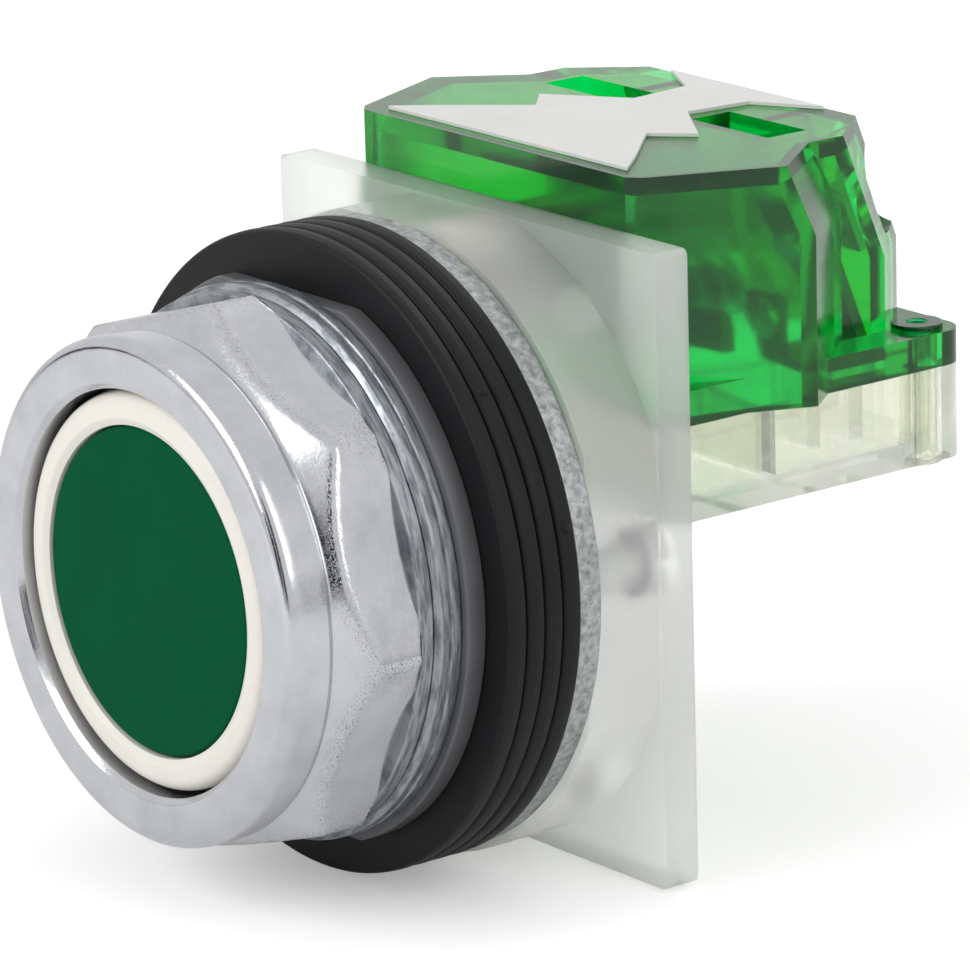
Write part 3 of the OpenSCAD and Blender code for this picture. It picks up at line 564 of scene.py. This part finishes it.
rubber = Coat("black_rubber", ior=1.3)
dust = rubber.grain(0.2, 4.0, 0.7)
bloom = rubber.grain(5.0, 3.0)
rubber.set(
    base_color=rubber.mottle(bloom, tone(12, 13, 15), tone(22, 23, 26)),
    roughness=0.44 + 0.18 * dust,
    normal=rubber.relief(dust, 0.010))
edge = 22.0
nub_r, nub_rise, nub_sink = 0.45, 0.6, 0.35
nub_turns = {2: math.radians(40), 4: math.radians(14)}
for index in (1, 2, 3, 4):
    low, high = edges_mm(f"gasket_{index}")
    middle_y = (low[1] + high[1]) / 2
    corners = [(ring_bore, high[1], 0.1), (ring_bore, low[1], 0.1),
               (edge - 0.06, low[1] + 0.02, 0.34), (edge, middle_y, 0.2),
               (edge - 0.06, high[1] - 0.02, 0.34)]
    ring = turned(f"rubber_ring_{index}", spread(rounded(corners, 6), 1.2), 224)
    fit(ring, rubber, "frame", "rubber", f"gasket_{index}")
    if index in nub_turns:
        # At an angle d the dome lies nub_rise * sin d out from its foot and is nub_r * cos d wide.
        tilt = nub_turns[index]
        around = np.arange(20) * 2 * np.pi / 20
        dome = np.linspace(0, np.pi / 2, 7)
        out = edge - nub_sink + nub_rise * np.sin(dome)
        wide = nub_r * np.cos(dome)
        out = np.concatenate([[edge - nub_sink], out])[:, None] + 0 * around
        wide = np.concatenate([[0.0], wide])[:, None]
        side_y, side_t = wide * np.cos(around), wide * np.sin(around)
        grid = np.stack([out * math.cos(tilt) - side_t * math.sin(tilt), middle_y + side_y,
                         out * math.sin(tilt) + side_t * math.cos(tilt)], -1)
        nub = surface(f"rubber_nub_{index}", grid, poles=True)
        nub.data.materials.append(rubber.owner)
        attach(nub, "frame")


# ---------------------------------------------------------------- clamp ring
# Galvanised steel ring with the spangled grey look of hot zinc.
# It lies behind the gaskets and spreads their load over the body.

clamp_low, clamp_high = edges_mm("clamp_ring")
galvanised = Coat("galvanised_steel", metallic=0.85)
spangle = galvanised.node("TexVoronoi", {"feature": "F1"}, output="Color",
                          scale=1 / (0.42 * MM), vector=galvanised.place)
crystal = galvanised.node("SeparateColor", output=0, color=spangle)
grit = galvanised.grain(0.15, 4.0, 0.7)
galvanised.set(
    base_color=galvanised.mottle(
        0.3 * crystal + 0.7 * galvanised.grain(0.55, 5.0, 0.7).between(0.25, 0.75),
        tone(112, 116, 118), tone(196, 199, 198)),
    roughness=0.34 + 0.20 * crystal,
    normal=galvanised.relief(grit, 0.010))
clamp_r = clamp_high[0]
clamp_outline = rounded([(ring_bore, clamp_high[1], 0.1), (ring_bore, clamp_low[1], 0.1),
                         (clamp_r, clamp_low[1], 0.15), (clamp_r, clamp_high[1], 0.15)], 4)
fit(turned("clamp_plate", spread(clamp_outline, 1.5), 224), galvanised, "frame", "galvanised",
    "clamp_ring")


# ---------------------------------------------------------------- body
# Frosted translucent moulding: a collar with four flats in front of a square plate.
# Its edges are thin and bright, and the green block shows through it as a soft tint.


def eased(name, node, width):
    """Copy of a CAD node, merged, its flat faces joined, with its edges broken by width in mm.

    A flat face with openings in it has many corners, and is cut into triangles first: broken as it
    is, it would close its own openings.
    """
    many = 24
    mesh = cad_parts[node].data.copy()
    mesh.name = name
    worked = bmesh.new()
    worked.from_mesh(mesh)
    bmesh.ops.remove_doubles(worked, verts=worked.verts, dist=0.001 * MM)
    bmesh.ops.dissolve_limit(worked, angle_limit=math.radians(0.5), verts=worked.verts,
                             edges=worked.edges)
    bmesh.ops.triangulate(worked, faces=[face for face in worked.faces if len(face.verts) > many])
    fresh = bpy.data.meshes.new(name)
    worked.to_mesh(fresh)
    worked.free()
    if "custom_normal" in fresh.attributes:
        fresh.attributes.remove(fresh.attributes["custom_normal"])
    made = bpy.data.objects.new(name, fresh)
    bpy.context.collection.objects.link(made)
    fresh.shade_smooth()
    bevel = made.modifiers.new("eased edges", "BEVEL")
    bevel.width, bevel.segments = width * MM, 2
    bevel.limit_method, bevel.angle_limit = "ANGLE", math.radians(35)
    bevel.miter_outer = "MITER_ARC"
    bevel.harden_normals = True
    return made


frosted = Coat("frosted_plastic", ior=1.16, transmission_weight=0.66, subsurface_weight=0.8,
               subsurface_scale=0.003, subsurface_radius=(1.0, 1.0, 1.0), coat_weight=0.5,
               coat_roughness=0.22)
frost = frosted.grain(0.12, 3.0)
cloud = frosted.grain(9.0, 3.0)
frosted.set(
    base_color=frosted.mottle(cloud, tone(247, 250, 245), tone(253, 254, 251)),
    roughness=0.58 + 0.16 * frost,
    normal=frosted.relief(frost, 0.006))
fit(eased("frosted_body", "body", 0.22), frosted, "frame", "frosted", "body")


# ---------------------------------------------------------------- block housing
# Glossy translucent green shell, moulded with hollow bays for the contacts.
# Thick places are darker.

green_glass = Coat("green_clear_plastic", ior=1.47, specular_ior_level=0.4,
                   transmission_weight=0.97)
green_glass.set(base_color=tone(4, 226, 104))
depth = green_glass.tree.nodes.new("ShaderNodeVolumeAbsorption")
depth.inputs["Color"].default_value = tone(0, 206, 84)
depth.inputs["Density"].default_value = 170.0
green_glass.tree.links.new(depth.outputs[0], green_glass.out.inputs["Volume"])
flow = green_glass.grain(2.2, 3.0)
green_glass.set(roughness=0.10 + 0.08 * flow, normal=green_glass.relief(flow, 0.010))
fit(eased("green_housing", "block_housing", 0.16), green_glass, "frame", "green_clear",
    "block_housing")


# ---------------------------------------------------------------- block cover
# Clear moulded tray that closes the block from below and carries the copper strips.
# Two rivets hold it to the housing's flange.

clear = Coat("clear_plastic", ior=1.38, specular_ior_level=0.3, transmission_weight=0.94,
             alpha=0.80)
ripple = clear.grain(2.5, 3.0)
clear.set(base_color=tone(250, 252, 240), roughness=0.05 + 0.06 * ripple,
          normal=clear.relief(ripple, 0.012))
fit(eased("clear_cover", "block_cover", 0.12), clear, "frame", "clear", "block_cover")


# ---------------------------------------------------------------- cover rivets
# Two hollow posts with turned-over rims that hold the cover on the housing's flange.
# Their upper rims are green like the flange and the rest is clear like the cover.

rivets = fit(eased("moulded_rivets", "cover_rivets", 0.08), green_glass, "frame", "green_clear",
             "cover_rivets")
rivets.data.materials.append(clear.owner)
centres = np.empty(3 * len(rivets.data.polygons), np.float32)
rivets.data.polygons.foreach_get("center", centres)
rim_height = 0.5 * MM
flange_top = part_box("cover_rivets")[1][2] - rim_height
rivets.data.polygons.foreach_set("material_index", (centres[2::3] < flange_top).astype(np.int32))


# ---------------------------------------------------------------- label
# Blank label of satin film, stuck to the housing's flat top.
# It is cut back round the wire pockets.

paper = Coat("label_film")
fibre = paper.grain(0.25, 4.0, 0.6)
paper.set(base_color=paper.mottle(paper.grain(6.0, 2.0), tone(212, 211, 210), tone(224, 223, 221)),
          roughness=0.42 + 0.14 * fibre, normal=paper.relief(fibre, 0.004))
fit(eased("blank_label", "block_label", 0.06), paper, "frame", "label", "block_label")


# ---------------------------------------------------------------- parts behind and inside
# Metal and plastic parts behind the shells, such as the bushing, the stem and the contacts.
# Each keeps its CAD shape and gets the finish of its real material.


def metal(name, dark, light, rough, size=0.4):
    """Worked metal: two tones in clouds, roughness and fine tool marks of about size mm."""
    made = Coat(name, metallic=0.95)
    marks = made.grain(size, 4.0, 0.6)
    made.set(base_color=made.mottle(made.grain(2.0, 3.0), dark, light),
             roughness=rough + 0.15 * marks, normal=made.relief(marks, 0.006))
    return made


def plastic(name, dark, light, rough, size=0.3):
    """Moulded plastic: two close tones, satin skin with grain of about size mm."""
    made = Coat(name)
    marks = made.grain(size, 3.0)
    made.set(base_color=made.mottle(made.grain(4.0, 3.0), dark, light),
             roughness=rough + 0.12 * marks, normal=made.relief(marks, 0.005))
    return made


steel = metal("bright_steel", tone(176, 178, 181), tone(206, 208, 210), 0.22)
casting = metal("satin_casting", tone(150, 151, 155), tone(178, 179, 183), 0.38)
copper = metal("copper_strip", tone(178, 104, 66), tone(214, 134, 88), 0.24)
silver = metal("silver_tip", tone(206, 207, 208), tone(228, 229, 229), 0.2)
brass = metal("brass_insert", tone(186, 150, 74), tone(212, 178, 98), 0.26)
black = plastic("black_plastic", tone(34, 34, 36), tone(44, 44, 47), 0.4)
red = plastic("red_plastic", tone(168, 44, 34), tone(190, 56, 44), 0.34)
wiper = plastic("wiper_rubber", tone(26, 26, 28), tone(36, 36, 38), 0.55)
for finish, nodes in (
        (steel, ("stem_screw", "bushing_screws", "block_screw", "clamp_left", "clamp_right",
                 "screw_left", "screw_right")),
        (casting, ("bushing",)), (copper, ("contact_bridge", "contact_left", "contact_right")),
        (silver, ("bridge_tips", "tip_left", "tip_right")), (brass, ("body_inserts",)),
        (black, ("push_stem",)), (red, ("plunger",)), (wiper, ("wiper_seal",))):
    for node in nodes:
        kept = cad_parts[node]
        for slot in kept.material_slots:
            slot.material = finish.owner


# ---------------------------------------------------------------- springs
# Three coils of bright spring wire: one lifts the cap, one lifts the plunger and one presses the
# contact bridge. Each is wound at rest between two seats; its shortening in use is not modelled.


def coil(name, seats, radius, wire, turns, height):
    """Round wire swept along a helix whose axis runs along Y at a height.

    At angle a round the axis and b round the wire a point lies radius + w cos b from the axis and
    w sin b along it, where w is half the wire. Both ends close to a point.
    """
    per_turn, sides = 36, 14
    angle = np.linspace(0, turns * 2 * np.pi, turns * per_turn + 1)[:, None]
    around = -np.arange(sides) * 2 * np.pi / sides
    rise = np.linspace(seats[0] + wire / 2, seats[1] - wire / 2, len(angle))[:, None]
    thick = np.full((len(angle), 1), wire / 2)
    angle, rise, thick = (np.concatenate([row[:1], row, row[-1:]]) for row in (angle, rise, thick))
    thick[[0, -1]] = 0
    out = radius + thick * np.cos(around)
    grid = np.stack([out * np.cos(angle), rise + thick * np.sin(around),
                     height + out * np.sin(angle)], -1)
    return surface(name, grid, poles=True)


spring_wire = metal("spring_wire", tone(150, 152, 156), tone(184, 186, 190), 0.25, 0.2)
for piece, node, body, wire, turns, joint, shortening in (
        ("return_coil", "return_spring", "frame", 0.90, 7, "push", 5.0),
        ("plunger_coil", "plunger_spring", "frame", 0.45, 6, "plunger_travel", 5.0),
        ("bridge_coil", "contact_spring", "bridge", 0.40, 4, "bridge_travel", 2.0)):
    low, high = edges_mm(node)
    height = (low[2] + high[2]) / 2
    wound = coil(piece, (low[1], high[1]), high[0] - wire / 2, wire, turns, height)
    fit(wound, spring_wire, body, "spring_steel", node)
    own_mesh(wound)

bpy.context.scene.view_settings.view_transform = "Standard"
